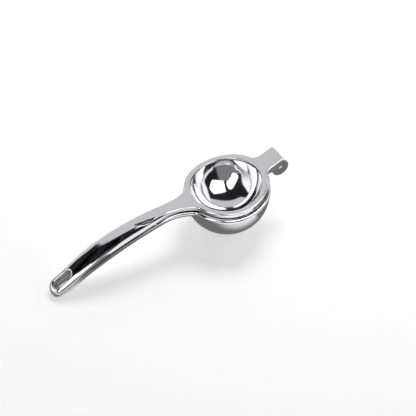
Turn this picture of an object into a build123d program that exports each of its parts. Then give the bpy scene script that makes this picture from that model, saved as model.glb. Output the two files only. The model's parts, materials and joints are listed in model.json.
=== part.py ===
"""Hinged citrus squeezer, die cast: a cup arm with drain holes under a press arm with a bowl.

The two arms meet at the nose, where a steel pin goes through the press arm's two ears and the cup
arm's tongue. The model is closed and at rest on a table: +X runs from the grips to the hinge, +Y
is across, +Z is up, and the origin is on the table under the middle of its length. The whole tool
leans, because it stands on the cup's bottom and on the end of the lower grip.

Lengths are in millimetres. Inside each arm, x is measured from the bowl's axis and z from the
flat ring's top, in the leaning frame called arm.
"""

import os
from math import asin, cos, degrees, hypot, radians, sin, sqrt

from build123d import *

# Rest pose
LEAN = 6.2  # degrees by which the bowl's mouth tips towards the grips
CENTRE_X = 51.15  # from the origin to the bowl's axis, along the table

# Press arm: flat ring with a bowl under it
MOUTH_R = 28.5
BOWL_R = 30.2  # a little more than the mouth's, so the bowl is shallower than half a ball
BOWL_WALL = 2.2
BOWL_CENTRE_Z = 8.1
BOWL_COLLAR_Z = -0.5
PRESS_RING_R = 33.0
PLATE = 3.8
EDGE_R = 1.0  # rounding of its outer edges
MOUTH_EDGE_R = 0.6

# Cup arm: rounded ring, cup with drain holes
CUP_R = 31.6
CUP_WALL = 2.4
CUP_CENTRE_Z = -7.0
CUP_COLLAR_Z = -6.5
CUP_RING_R = 34.8
CUP_RING_DROP = 6.0  # from the press ring's top to the cup ring's top
CUP_RING_THICK = 4.6
CUP_EDGE_R = 1.9
DRAIN_R = 1.8
DRAIN_CIRCLES = [(7.0, 6), (13.5, 12)]  # radius and number of holes of each circle

# Hinge: the pin, the ears round it and the tongue between them
PIN_X = 45.0
PIN_Z = -1.0
PIN_R = 2.0
PIN_PROUD = 0.35  # how far each domed end stands out of its ear
PIN_DOME_R = 0.9
RUNNING_GAP = 0.05  # radial, pin in ear
EAR_R = 7.3
NOSE_HALF_WIDTH = 8.5
NOSE_END_X = 48.9
NOSE_CORNER_R = 1.3
TONGUE_HALF_WIDTH = 4.0
TONGUE_GAP = 0.2  # on each side of the tongue
EYE_R = 4.9
TONGUE_ROOT = (33.6, -4.6)
TONGUE_ROOT_R = 2.3
POCKET_R = 5.5  # pocket round the eye
POCKET_START = (34.8, 1.9)
POCKET_TOP = (43.0, 4.0)
HOOD_Z = 1.5  # lower edge of the nose in front of the eye
WEB = [(36.5, 1.5), (38.4, -3.9), (45.0, -1.0), (48.9, 6.0)]  # ties each ear to the plate

# Top line of the press arm in side view, from the nose to the neck
NOSE_LINE = [(51.0, 8.2), (30.0, 2.9), (15.0, 0.75), (0.0, 0.0), (-15.0, 0.75), (-30.0, 3.0)]

# Stations of the grips, from the neck to the tip: x, height of the top line, height of the upper
# half, depth of the lower half, upright part of their sides, half width, half width of the flat
GRIP = [
    (-52.0, 6.6, 3.8, 4.6, 2.8, 5.5, 4.6),
    (-68.0, 7.7, 5.0, 5.4, 1.6, 6.8, 4.6),
    (-84.0, 7.6, 6.2, 6.6, 1.0, 7.8, 4.1),
    (-100.0, 6.0, 7.2, 7.6, 1.0, 8.3, 3.6),
    (-114.0, 2.6, 7.2, 8.0, 1.0, 8.5, 2.3),
    (-128.0, -3.4, 6.2, 7.6, 1.0, 8.3, 1.2),
    (-142.0, -10.6, 5.2, 6.3, 1.0, 8.0, 0.8),
    (-158.0, -17.2, 4.2, 2.3, 1.0, 7.6, 0.6),
]
NECK_X = GRIP[0][0]
NECK_HALF_WIDTH = GRIP[0][5]
NECK_GAP = 2.2  # between the two arms at the neck
TIP_GAP = 0.8  # and at the tip of the grips
TIP_X = -157.2
TIP_HALF_WIDTH = 8.6
TIP_R = 7.4  # rounding of the grips' end, seen from above
FLARE_R = 40.0  # hollow outline of the neck where it widens into the ring
FLARE_TURN = 33.0  # degrees
NECK_VALLEY_R = 5.0  # where the flare meets the ring
NOSE_VALLEY_R = 7.0  # where the nose meets the ring

# Hanging hole through both grips
HANG_X = -146.6
HANG_TOP_Z = -12.5
HANG_SLOPE = 23.5  # degrees, slope of the grips there
HANG_LENGTH = 16.8
HANG_WIDTH = 7.8

# Crescent slot of the bottle opener, through the press arm's grip
SLOT_TIP_END = (-82.4, -1.3)
SLOT_NECK_END = (-63.8, -2.7)
SLOT_BULGE = (-73.4, -6.1)
SLOT_CORNER_R = 0.7

# Flat foot under the end of the lower grip, on the table
FOOT_X = -102.0
FOOT_SIZE = 20.0

REACH = 60.0  # longer than any cut has to be
PAST = 2.0  # how far a blank runs past the surface that trims it

arm = Plane(
    origin=(CENTRE_X, 0, -CUP_CENTRE_Z * cos(radians(LEAN)) + CUP_R + CUP_WALL),
    x_dir=(cos(radians(LEAN)), 0, sin(radians(LEAN))),
    z_dir=(-sin(radians(LEAN)), 0, cos(radians(LEAN))),
)
side = Plane(origin=arm.origin, x_dir=arm.x_dir, z_dir=(0, -1, 0))
bowl_axis = Axis(arm.origin, arm.z_dir)
hang_angle = radians(LEAN + HANG_SLOPE)
hang = Plane(
    origin=arm.from_local_coords((HANG_X, 0, HANG_TOP_Z)),
    x_dir=(cos(hang_angle), 0, sin(hang_angle)),
    z_dir=(-sin(hang_angle), 0, cos(hang_angle)),
)


def across(x, z):
    """Plane across the arm at x, with its origin at height z."""
    return Plane(origin=arm.from_local_coords((x, 0, z)), x_dir=(0, 1, 0), z_dir=arm.x_dir)


def gap_at(x):
    """Gap between the two grips, which narrows evenly from the neck to the tip."""
    share = (x - NECK_X) / (GRIP[-1][0] - NECK_X)
    return NECK_GAP + (TIP_GAP - NECK_GAP) * share


def grip_section(half_width, flat, height, skirt, turn):
    """Grip section: oval on upright sides, flat once trimmed at the height. Turn -1 hangs it."""
    rise = (height - skirt) / sqrt(1 - (flat / half_width) ** 2)
    with BuildLine() as outline:
        Polyline(
            (half_width, turn * skirt),
            (half_width, -turn * PAST),
            (-half_width, -turn * PAST),
            (-half_width, turn * skirt),
        )
        EllipticalCenterArc(
            center=(0, turn * skirt),
            x_radius=half_width,
            y_radius=rise,
            start_angle=0 if turn > 0 else 180,
            arc_size=180,
        )
    make_face(outline.edges())


def grip_outline():
    """Both grips seen from above: a strip wider than they are, with the rounded end."""
    with Locations(((NECK_X + TIP_X) / 2, 0)):
        Rectangle(NECK_X - TIP_X, 2 * TIP_HALF_WIDTH)
    fillet(vertices().group_by(Axis.X)[0], TIP_R)


def side_band(upper, lower):
    """Side-view face between two smooth lines, closed by straight ends."""
    with BuildLine() as outline:
        top = Spline(*upper)
        bottom = Spline(*lower)
        Line(top @ 0, bottom @ 0)
        Line(top @ 1, bottom @ 1)
    make_face(outline.edges())


def valleys(ring_r, end):
    """Corners of a sketch on the ring's outline, at its grip end (-1) or its nose end (1)."""
    return vertices().filter_by(lambda v: abs(hypot(v.X, v.Y) - ring_r) < 0.01 and v.X * end > 0)


def ring_outline(ring_r):
    """Ring with its neck flare, seen from above."""
    Circle(ring_r)
    with BuildLine() as neck:
        Polyline((NECK_X - PAST, 0), (NECK_X - PAST, NECK_HALF_WIDTH), (NECK_X, NECK_HALF_WIDTH))
        flare = CenterArc((NECK_X, NECK_HALF_WIDTH + FLARE_R), FLARE_R, 270, FLARE_TURN)
        Polyline(flare @ 1, (0, (flare @ 1).Y), (0, 0))
        mirror(about=Plane.XZ)
    make_face(neck.edges())
    fillet(valleys(ring_r, -1), NECK_VALLEY_R)


def ball_end(radius, centre_z, collar_r, collar_z):
    """Side view of half of a ball's lower part under a straight collar, to be revolved."""
    with BuildLine() as outline:
        ball = CenterArc((0, centre_z), radius, 270, degrees(asin(collar_r / radius)))
        Polyline(ball @ 1, (collar_r, collar_z), (0, collar_z), ball @ 0)
    make_face(outline.edges())


press_top = NOSE_LINE + [(x, top) for x, top, *_ in GRIP]
press_bottom = [(x, z - PLATE) for x, z in NOSE_LINE] + [(x, top - up) for x, top, up, *_ in GRIP]
cup_top = [(x, z - CUP_RING_DROP) for x, z in NOSE_LINE]
cup_top += [(x, top - up - gap_at(x)) for x, top, up, *_ in GRIP]
cup_bottom = [(x, z - CUP_RING_DROP - CUP_RING_THICK) for x, z in NOSE_LINE]
cup_bottom += [(x, top - up - gap_at(x) - down) for x, top, up, down, *_ in GRIP]

with BuildSketch(hang) as hanging_hole:
    SlotOverall(HANG_LENGTH, HANG_WIDTH)

# ---------------------------------------------------------------- grips, as blanks for both arms
with BuildPart() as press_grip:
    for x, top, up, down, skirt, half_width, flat in GRIP:
        with BuildSketch(across(x, top - up)):
            grip_section(half_width, flat, up, skirt, 1)
    loft()
    with BuildSketch(side):
        side_band(press_top, press_bottom)
    extrude(amount=REACH, both=True, mode=Mode.INTERSECT)
    with BuildSketch(arm):
        grip_outline()
    extrude(amount=REACH, both=True, mode=Mode.INTERSECT)

with BuildPart() as cup_grip:
    for x, top, up, down, skirt, half_width, flat in GRIP:
        with BuildSketch(across(x, top - up - gap_at(x))):
            grip_section(half_width, flat, down, skirt, -1)
    loft()
    with BuildSketch(side):
        side_band(cup_top, cup_bottom)
    extrude(amount=REACH, both=True, mode=Mode.INTERSECT)
    with BuildSketch(arm):
        grip_outline()
    extrude(amount=REACH, both=True, mode=Mode.INTERSECT)

# ---------------------------------------------------------------- press arm
with BuildPart() as press_arm:
    # Flat ring, neck and nose
    with BuildSketch(arm):
        ring_outline(PRESS_RING_R)
        with Locations((NOSE_END_X / 2, 0)):
            Rectangle(NOSE_END_X, 2 * NOSE_HALF_WIDTH)
        fillet(vertices().group_by(Axis.X)[-1], NOSE_CORNER_R)
        fillet(valleys(PRESS_RING_R, 1), NOSE_VALLEY_R)
    extrude(amount=REACH, both=True)
    with BuildSketch(side):
        side_band(press_top, press_bottom)
    extrude(amount=REACH, both=True, mode=Mode.INTERSECT)
    fillet(faces().sort_by(SortBy.AREA)[-2:].edges(), EDGE_R)
    add(press_grip.part)

    # Ears, joined to the plate by a web
    with BuildSketch(side):
        with Locations((PIN_X, PIN_Z)):
            Circle(EAR_R)
        with BuildLine():
            Polyline(*WEB, close=True)
        make_face()
    extrude(amount=NOSE_HALF_WIDTH, both=True)

    # Bowl
    with BuildSketch(side):
        ball_end(BOWL_R + BOWL_WALL, BOWL_CENTRE_Z, MOUTH_R + BOWL_WALL, BOWL_COLLAR_Z)
    revolve(axis=bowl_axis)
    with BuildSketch(side):
        ball_end(BOWL_R, BOWL_CENTRE_Z, MOUTH_R, REACH)
    revolve(axis=bowl_axis, mode=Mode.SUBTRACT)
    fillet(edges(Select.LAST).group_by(SortBy.LENGTH)[-2], MOUTH_EDGE_R)

    # Pocket for the cup arm's tongue, open below and in front
    with BuildSketch(side):
        with Locations((PIN_X, PIN_Z)):
            Circle(POCKET_R)
        with BuildLine():
            Polyline(
                (POCKET_START[0], -REACH),
                POCKET_START,
                POCKET_TOP,
                (PIN_X, HOOD_Z),
                (REACH, HOOD_Z),
                (REACH, -REACH),
                close=True,
            )
        make_face()
    extrude(amount=TONGUE_HALF_WIDTH + TONGUE_GAP, both=True, mode=Mode.SUBTRACT)

    # Bore for the pin
    with BuildSketch(side):
        with Locations((PIN_X, PIN_Z)):
            Circle(PIN_R + RUNNING_GAP)
    extrude(amount=REACH, both=True, mode=Mode.SUBTRACT)

    # Opener slot
    with BuildSketch(arm):
        with BuildLine():
            Line(SLOT_TIP_END, SLOT_NECK_END)
            ThreePointArc(SLOT_NECK_END, SLOT_BULGE, SLOT_TIP_END)
        make_face()
        fillet(vertices(), SLOT_CORNER_R)
    extrude(amount=REACH, both=True, mode=Mode.SUBTRACT)
    extrude(hanging_hole.sketch, amount=REACH, both=True, mode=Mode.SUBTRACT)

# ---------------------------------------------------------------- cup arm
with BuildPart() as cup_arm:
    # Rounded ring and neck
    with BuildSketch(arm):
        ring_outline(CUP_RING_R)
    extrude(amount=REACH, both=True)
    with BuildSketch(side):
        side_band(cup_top, cup_bottom)
    extrude(amount=REACH, both=True, mode=Mode.INTERSECT)
    fillet(faces().sort_by(SortBy.AREA)[-2:].edges(), CUP_EDGE_R)
    add(cup_grip.part)

    # Tongue with the eye for the pin
    with BuildSketch(side):
        with Locations((PIN_X, PIN_Z)):
            Circle(EYE_R)
        with Locations(TONGUE_ROOT):
            Circle(TONGUE_ROOT_R)
        make_hull()
    extrude(amount=TONGUE_HALF_WIDTH, both=True)
    with BuildSketch(side):
        with Locations((PIN_X, PIN_Z)):
            Circle(PIN_R)
    extrude(amount=REACH, both=True, mode=Mode.SUBTRACT)

    # Cup with its drain holes
    with BuildSketch(side):
        ball_end(CUP_R + CUP_WALL, CUP_CENTRE_Z, CUP_R + CUP_WALL, CUP_COLLAR_Z)
    revolve(axis=bowl_axis)
    with BuildSketch(side):
        ball_end(CUP_R, CUP_CENTRE_Z, CUP_R, REACH)
    revolve(axis=bowl_axis, mode=Mode.SUBTRACT)
    with BuildSketch(arm.offset(CUP_CENTRE_Z)):
        Circle(DRAIN_R)
        for circle_r, count in DRAIN_CIRCLES:
            with PolarLocations(circle_r, count):
                Circle(DRAIN_R)
    extrude(amount=-REACH, mode=Mode.SUBTRACT)
    extrude(hanging_hole.sketch, amount=REACH, both=True, mode=Mode.SUBTRACT)

    # Foot, flush with the table
    with BuildSketch(Plane.XY):
        with Locations((FOOT_X, 0)):
            Rectangle(FOOT_SIZE, FOOT_SIZE)
    extrude(amount=-REACH, mode=Mode.SUBTRACT)

# ---------------------------------------------------------------- hinge pin
with BuildPart() as hinge_pin:
    with BuildSketch(side):
        with Locations((PIN_X, PIN_Z)):
            Circle(PIN_R)
    extrude(amount=NOSE_HALF_WIDTH + PIN_PROUD, both=True)
    fillet(edges().filter_by(GeomType.CIRCLE), PIN_DOME_R)

# ---------------------------------------------------------------- hand over
press_arm.part.label = "press_arm"
cup_arm.part.label = "cup_arm"
hinge_pin.part.label = "hinge_pin"

os.makedirs("parts", exist_ok=True)
export_step(press_arm.part, "parts/press_arm.step")
export_step(cup_arm.part, "parts/cup_arm.step")
export_step(hinge_pin.part, "parts/hinge_pin.step")
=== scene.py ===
# %% [markdown]
# # A hinged citrus squeezer in polished chrome
# Two zinc castings, plated with mirror chrome, turn on one steel pin. Everything on them is a
# mirror, so their look is made of what they reflect. That asks for two things: surfaces with
# no facets or dents, and a studio round the tool that is worth reflecting.
#
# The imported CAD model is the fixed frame. This script builds finer skins for its three parts,
# in the same place and at the same size, then the studio and the camera.

# %% Load the frame
import json
from math import acos, asin, atan2, ceil, cos, degrees, hypot, pi, radians, sin, sqrt, tan

import bmesh
import bpy
import numpy as np
from mathutils import Matrix, Vector


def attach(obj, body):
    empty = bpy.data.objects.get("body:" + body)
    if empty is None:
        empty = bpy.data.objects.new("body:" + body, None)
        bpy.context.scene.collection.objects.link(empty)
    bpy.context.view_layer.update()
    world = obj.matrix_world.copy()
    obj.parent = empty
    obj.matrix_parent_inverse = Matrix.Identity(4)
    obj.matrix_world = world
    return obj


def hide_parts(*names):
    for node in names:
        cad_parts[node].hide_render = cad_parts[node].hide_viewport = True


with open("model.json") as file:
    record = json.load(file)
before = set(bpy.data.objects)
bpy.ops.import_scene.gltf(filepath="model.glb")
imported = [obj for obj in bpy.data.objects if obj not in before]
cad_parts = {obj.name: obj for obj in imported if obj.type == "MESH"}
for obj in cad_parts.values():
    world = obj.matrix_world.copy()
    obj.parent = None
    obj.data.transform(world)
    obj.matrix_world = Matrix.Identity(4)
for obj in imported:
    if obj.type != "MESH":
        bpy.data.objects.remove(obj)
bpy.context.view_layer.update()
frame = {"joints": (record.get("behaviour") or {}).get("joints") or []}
hinge = frame["joints"][0]

# %% [markdown]
# ## The leaning frame
# Closed and at rest, the tool leans a few degrees, because it stands on its cup and on the end
# of the lower grip. The castings are easier to describe in a frame that leans with them: x along
# the arm from the bowl's axis, y across, z up from the ring's top. All lengths below are in
# millimetres in that frame, and one matrix brings them to metres in the world.

# %% The arm's own axes
MM = 0.001
LEAN = radians(6.2)
PIN_X, PIN_Z = 45.0, -1.0  # the pin's axis in the leaning frame
pin_world = Vector(hinge["pos_m"]) / MM
along = Vector((cos(LEAN), 0, sin(LEAN)))
upward = Vector((-sin(LEAN), 0, cos(LEAN)))
origin = pin_world - along * PIN_X - upward * PIN_Z
ARM_TO_WORLD = Matrix.Scale(MM, 4) @ Matrix(
    (
        (along.x, 0, upward.x, origin.x),
        (0, 1, 0, 0),
        (along.z, 0, upward.z, origin.z),
        (0, 0, 0, 1),
    )
)
print("ring top is", round(origin.z, 2), "mm above the table")

# %% [markdown]
# ## Lines that bend without a kink
# A mirror shows a jump in curvature as a broken highlight. So each measure along the grips is a
# natural cubic spline through a few stations, which keeps slope and curvature continuous.


# %% Spline through stations
def smooth_line(stations):
    """Natural cubic spline through (x, value) pairs, as a function of x."""
    x, v = np.array(sorted(stations), float).T
    h = np.diff(x)
    rise = np.diff(v) / h
    system = np.eye(len(x))
    right = np.zeros(len(x))
    for i in range(1, len(x) - 1):
        system[i, i - 1 : i + 2] = h[i - 1], 2 * (h[i - 1] + h[i]), h[i]
        right[i] = 6 * (rise[i] - rise[i - 1])
    bend = np.linalg.solve(system, right)

    def value(at):
        i = int(np.clip(np.searchsorted(x, at) - 1, 0, len(h) - 1))
        a, b = x[i + 1] - at, at - x[i]
        return float(
            (bend[i] * a**3 + bend[i + 1] * b**3) / (6 * h[i])
            + (v[i] / h[i] - bend[i] * h[i] / 6) * a
            + (v[i + 1] / h[i] - bend[i + 1] * h[i] / 6) * b
        )

    return value


print("half way up a spline over 0, 1, 0:", smooth_line([(0, 0), (1, 1), (2, 0)])(0.5))

# %% Side view of both arms
NOSE_LINE = [(51.0, 8.2), (30.0, 2.9), (15.0, 0.75), (0.0, 0.0), (-15.0, 0.75), (-30.0, 3.0)]
PLATE = 3.8  # thickness of the press ring and its nose
CUP_RING_DROP, CUP_RING_THICK = 6.0, 4.6
NECK_X, TIP_X = -52.0, -157.2
NECK_GAP, TIP_GAP = 2.2, 0.8  # between the grips
EVEN_FROM = NECK_X + 10  # from here the neck keeps its width

# x, top line, height of the upper half, depth of the lower half, upright side, half width, flat
GRIP = [
    (-52.0, 6.6, 3.8, 4.6, 2.8, 5.5, 4.6),
    (-68.0, 7.7, 5.0, 5.4, 1.6, 6.8, 4.6),
    (-84.0, 7.6, 6.2, 6.6, 1.0, 7.8, 4.1),
    (-100.0, 6.0, 7.2, 7.6, 1.0, 8.3, 3.6),
    (-114.0, 2.6, 7.2, 8.0, 1.0, 8.5, 2.3),
    (-128.0, -3.4, 6.2, 7.6, 1.0, 8.3, 1.2),
    (-142.0, -10.6, 5.2, 6.3, 1.0, 8.0, 0.8),
    (-158.0, -17.2, 4.2, 2.3, 1.0, 7.6, 0.6),
]


def gap_at(x):
    """Gap between the grips, which narrows evenly from the neck to the tip."""
    return NECK_GAP + (TIP_GAP - NECK_GAP) * (x - NECK_X) / (GRIP[-1][0] - NECK_X)


press_top = smooth_line(NOSE_LINE + [(row[0], row[1]) for row in GRIP])
press_base = smooth_line(
    [(x, z - PLATE) for x, z in NOSE_LINE] + [(row[0], row[1] - row[2]) for row in GRIP]
)
cup_top = smooth_line(
    [(x, z - CUP_RING_DROP) for x, z in NOSE_LINE]
    + [(row[0], row[1] - row[2] - gap_at(row[0])) for row in GRIP]
)
cup_base = smooth_line(
    [(x, z - CUP_RING_DROP - CUP_RING_THICK) for x, z in NOSE_LINE]
    + [(row[0], row[1] - row[2] - gap_at(row[0]) - row[3]) for row in GRIP]
)
half_width = smooth_line([(row[0], row[5]) for row in GRIP] + [(EVEN_FROM, GRIP[0][5])])
print("grip end is", round(press_top(TIP_X), 1), "mm below the ring's top")

# %% [markdown]
# ## The outline from above
# Seen from above, an arm is a ring, a flare that narrows into the neck, the grip and its rounded
# end, and on the press arm a flat nose. Half of it is enough, because the other half is mirrored.
# Each outline point gets a partner further in: on the centre line, or on the mouth's circle where
# there is a ring. The skin is then a strip of sections, from partner to outline and back below.


# %% Points of the half outline
STEP = 0.8  # spacing along the outline
TIP_R = 7.6  # length of the rounded end
TIP_SQUARE = 2.3  # 2 is an ellipse, more is squarer
TIP_STEPS = 22
TIP_CENTRE_X = TIP_X + TIP_R
FLARE_R = 40.0
NECK_VALLEY_R, NOSE_VALLEY_R = 5.0, 7.0
NOSE_HALF_WIDTH, NOSE_END_X, NOSE_CORNER_R = 8.5, 48.9, 1.3
CORNER_STEP = 0.25  # spacing round the nose's small corners


def arc(centre, radius, start, end, step=STEP):
    """Points of an arc in the plane, its start included and its end left out."""
    count = max(3, ceil(abs(end - start) * radius / step))
    turns = (start + (end - start) * i / count for i in range(count))
    return [(centre[0] + radius * cos(t), centre[1] + radius * sin(t)) for t in turns]


def straight(start, end, step=STEP):
    """Points of a straight stretch, its start included and its end left out."""
    length = hypot(end[0] - start[0], end[1] - start[1])
    count = max(2, ceil(length / step))
    shares = (i / count for i in range(count))
    return [
        (start[0] + (end[0] - start[0]) * s, start[1] + (end[1] - start[1]) * s) for s in shares
    ]


def neck_valley(ring_r):
    """Fillet between the hollow flare and the ring: its centre and where it touches both."""
    flare = (NECK_X, half_width(NECK_X) + FLARE_R)
    reach_flare, reach_ring = FLARE_R - NECK_VALLEY_R, ring_r + NECK_VALLEY_R
    gap = hypot(*flare)
    turn = acos((gap**2 + reach_ring**2 - reach_flare**2) / (2 * gap * reach_ring))
    direction = atan2(flare[1], flare[0]) + turn
    centre = (reach_ring * cos(direction), reach_ring * sin(direction))
    return flare, centre, direction


def half_outline(ring_r, nose):
    """Points from the tip, along the grip and round the ring, to the nose or the ring's front."""
    points = []
    tip_half = half_width(TIP_CENTRE_X)
    for i in range(TIP_STEPS):
        turn = pi / 2 * i / TIP_STEPS
        x = TIP_CENTRE_X - TIP_R * cos(turn) ** (2 / TIP_SQUARE)
        points.append((x, tip_half * sin(turn) ** (2 / TIP_SQUARE)))
    points += [(x, half_width(x)) for x in np.arange(TIP_CENTRE_X, NECK_X, STEP)]
    flare, valley, ring_turn = neck_valley(ring_r)
    flare_end = atan2(valley[1] - flare[1], valley[0] - flare[0])
    points += arc(flare, FLARE_R, -pi / 2, flare_end)
    points += arc(valley, NECK_VALLEY_R, flare_end, ring_turn - pi)
    if not nose:
        points += arc((0, 0), ring_r, ring_turn, 0) + [(ring_r, 0)]
        return points
    reach = ring_r + NOSE_VALLEY_R
    lift = asin((NOSE_HALF_WIDTH + NOSE_VALLEY_R) / reach)
    centre = (reach * cos(lift), reach * sin(lift))
    corner = (NOSE_END_X - NOSE_CORNER_R, NOSE_HALF_WIDTH - NOSE_CORNER_R)
    points += arc((0, 0), ring_r, ring_turn, lift)
    points += arc(centre, NOSE_VALLEY_R, lift - pi, -pi / 2)
    points += straight((centre[0], NOSE_HALF_WIDTH), (corner[0], NOSE_HALF_WIDTH))
    points += arc(corner, NOSE_CORNER_R, pi / 2, 0, step=CORNER_STEP)
    points += straight((NOSE_END_X, corner[1]), (NOSE_END_X, 0)) + [(NOSE_END_X, 0)]
    return points


print("neck is", 2 * half_width(NECK_X), "mm wide, nose", 2 * NOSE_HALF_WIDTH, "mm")

# %% [markdown]
# ## Rounded edges that change along the arm
# The ring is a flat plate with small round edges. Along the neck its edge grows into the oval
# shoulder of the grip, which leaves only a narrow flat on top. One formula serves both: a piece
# of an ellipse, given by how far it reaches, how wide it is and how deep it drops. The grips'
# inner faces, which meet each other, keep a fine edge.


# %% Edge shapes
GRIP_FLAT = smooth_line([(row[0], row[6]) for row in GRIP])
UPPER_DROP = smooth_line([(row[0], row[2] - row[4]) for row in GRIP])
LOWER_DROP = smooth_line([(row[0], row[3] - row[4]) for row in GRIP])
EDGE_GROWS = (-48.0, -66.0)  # x from where to where the ring's edge turns into the grip's
FINE_EDGE = 0.25
CROWN = 0.8  # how far a grip's flat would fall to its edge, by its share of the half width


def ease(x, start, end):
    """0 at the start, 1 at the end, with even slope and curvature at both."""
    t = min(1.0, max(0.0, (x - start) / (end - start)))
    return t**3 * (t * (6 * t - 15) + 10)


def mix(a, b, share):
    """Value between a and b."""
    return a + (b - a) * share


def oval_edge(ring_edge, drop_line):
    """Edge that is round on the ring and an oval shoulder on the grip."""

    def edge(x):
        grown = ease(x, *EDGE_GROWS)
        x = min(max(x, GRIP[-1][0]), NECK_X)
        half = half_width(x)
        width = mix(ring_edge, half - GRIP_FLAT(x), grown)
        return mix(ring_edge, half, grown), width, mix(ring_edge, drop_line(x), grown)

    return edge


def fine_edge(ring_edge):
    """Edge that is round on the ring and fine on the grip."""

    def edge(x):
        radius = mix(ring_edge, FINE_EDGE, ease(x, *EDGE_GROWS))
        return radius, radius, radius

    return edge


def drop_at(shape, inward):
    """How far the face has dropped at a distance inward from the outline."""
    reach, width, drop = shape
    crown = CROWN * (1 - width / reach) * max(0.0, 1 - inward / reach) ** 2
    if inward >= width:
        return crown
    full = sqrt(1 - (1 - width / reach) ** 2)
    return crown + drop * (1 - sqrt(max(0.0, 1 - (1 - inward / reach) ** 2)) / full)


mid_grip = [round(v, 2) for v in oval_edge(1.0, UPPER_DROP)(-100)]
print("reach, width and drop of the upper edge at mid grip", mid_grip)

# %% [markdown]
# ## Sections between a hole and the outline
# Each section runs from its inner point over the top face, the edge and the side, and back below.
# The inner points follow three stretches: round the hanging hole, along the centre line, and
# round the bowl's mouth. At a hole the section also gets a round rim and a wall, so both holes
# are part of the skin and their rims stay smooth. The press ring's wall is a little wider below
# than at its rim, so it reflects only the inside of the bowl, which gives the far rim its dark
# line.

# %% Inner stretches
HANG_SLOPE = radians(23.5)
HANG_BASE = Vector((-146.6, 0, -12.5))
HANG_ALONG = Vector((cos(HANG_SLOPE), 0, sin(HANG_SLOPE)))
HANG_UP = Vector((-sin(HANG_SLOPE), 0, cos(HANG_SLOPE)))
HANG_END_R = 3.9
HANG_STRAIGHT = 9.0  # between the centres of its round ends


def hanging_hole_at(share):
    """Point on half the hanging hole's outline, 0 at the tip end and 1 at the neck end."""
    quarter = HANG_END_R * pi / 2
    length = share * (2 * quarter + HANG_STRAIGHT)
    if length < quarter:
        turn = pi - length / HANG_END_R
        centre = -HANG_STRAIGHT / 2
    elif length < quarter + HANG_STRAIGHT:
        turn = pi / 2
        centre = length - quarter - HANG_STRAIGHT / 2
    else:
        turn = pi / 2 - (length - quarter - HANG_STRAIGHT) / HANG_END_R
        centre = HANG_STRAIGHT / 2
    outward = HANG_ALONG * cos(turn) + Vector((0, sin(turn), 0))
    if share in (0, 1):
        outward = HANG_ALONG * (1 if share else -1)
    return HANG_BASE + HANG_ALONG * centre + outward * HANG_END_R, HANG_UP, outward


def mouth_at(share, mouth_r, undercut):
    """Point on half the mouth's circle, 0 at the neck and 1 at the nose."""
    turn = pi * (1 - share)
    outward = Vector((cos(turn), sin(turn) if 0 < share < 1 else 0, 0))
    return outward * mouth_r, Vector((0, 0, 1)) - outward * tan(undercut), outward


HOLE_END_X = -138.0  # x of the hanging hole's neck end, where the centre line takes over
BESIDE_HOLE = [(TIP_CENTRE_X, 0.29), (-142.5, 0.71), (-135.5, 1.0)]  # outline x, position
BESIDE_LINE = (-126.0, NECK_X)  # outline x whose partner has the same x
BESIDE_MOUTH = -40.0  # outline x whose partner is the mouth's neck end
RING_FROM = -31.0  # outline x past which it is on the ring
RING_START_TURN = 17  # degrees round the mouth at the ring's first point
EVEN_TURNS = (130, 90, 40)  # where ring and mouth have the same turn, in degrees from the nose
NOSE_TURNS = [(22.8, 20.5), (10.4, 8.5)]  # turns on the nose's outline and on the mouth


def partners(outline, mouth_r, nose):
    """Stretch position of each section: 0 to 1 hanging hole, 1 to 2 centre line, 2 to 3 mouth."""
    steps = np.hypot(*np.diff(outline, axis=0).T)
    run = np.concatenate([[0], np.cumsum(steps)])
    turn = np.degrees(np.arctan2(outline[:, 1], outline[:, 0]))
    ring = np.flatnonzero(outline[:, 0] > RING_FROM)[0]

    def at_x(x):
        return float(run[np.flatnonzero(outline[:, 0] >= x)[0]])

    def at_turn(degree):
        return float(run[ring:][np.flatnonzero(turn[ring:] <= degree)[0]])

    def on_line(x):
        return 1 + (x - HOLE_END_X) / (-mouth_r - HOLE_END_X)

    pairs = [(0, 0)] + [(at_x(x), position) for x, position in BESIDE_HOLE]
    pairs += [(at_x(x), on_line(x)) for x in BESIDE_LINE]
    pairs += [(at_x(BESIDE_MOUTH), 2.0), (float(run[ring]), 2 + RING_START_TURN / 180)]
    pairs += [(at_turn(degree), 3 - degree / 180) for degree in EVEN_TURNS]
    if nose:
        pairs += [(at_turn(outer), 3 - inner / 180) for outer, inner in NOSE_TURNS]
    pairs += [(float(run[-1]), 3.0)]
    spots, values = np.array(pairs).T
    stretch = np.interp(run, spots, values)
    for mark in (1.0, 2.0):
        stretch[np.abs(stretch - mark).argmin()] = mark
    stretch[0], stretch[-1] = 0.0, 3.0
    return stretch


hole_at = [round(v, 1) for v in hanging_hole_at(1.0)[0]]
print("hanging hole's neck end at", hole_at, "mm")

# %% [markdown]
# ## From sections to a skin
# A casting is one closed surface, and here it is a mirror. A coarse cage under a Subdivision
# Surface would be quicker, but it pulls away from the measures and shows its lines as waves. So
# each section has many points of its own: close together over the edge, where the metal turns,
# and further apart on the flat. Quads join neighbouring sections, and the other half of the arm
# is the mirror image of the first.

# %% Points over a face
FLAT_SHARES = [0, 0.12, 0.24, 0.36, 0.48, 0.6, 0.72, 0.84, 0.93, 0.985]  # rows of the flat
EDGE_STEPS, SIDE_STEPS = 18, 3
WIDEST_EDGE = 0.9  # share of the way inward that an edge may take
MIDLINE = 9  # mm inside the outline, which is further than any edge reaches


def distance_to(outline):
    """Function that measures how far a place is from the outline."""
    starts = outline[:-1]
    spans = outline[1:] - starts

    def distance(x, y):
        to = np.array((x, y)) - starts
        share = np.clip((to * spans).sum(1) / (spans**2).sum(1), 0, 1)
        return float(np.hypot(*(to - spans * share[:, None]).T).min())

    return distance


def height(face, x, inside):
    """Height of a face at x, some way inside the outline."""
    line, edge, turn = face
    return line(x) - turn * drop_at(edge(x), inside)


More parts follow.
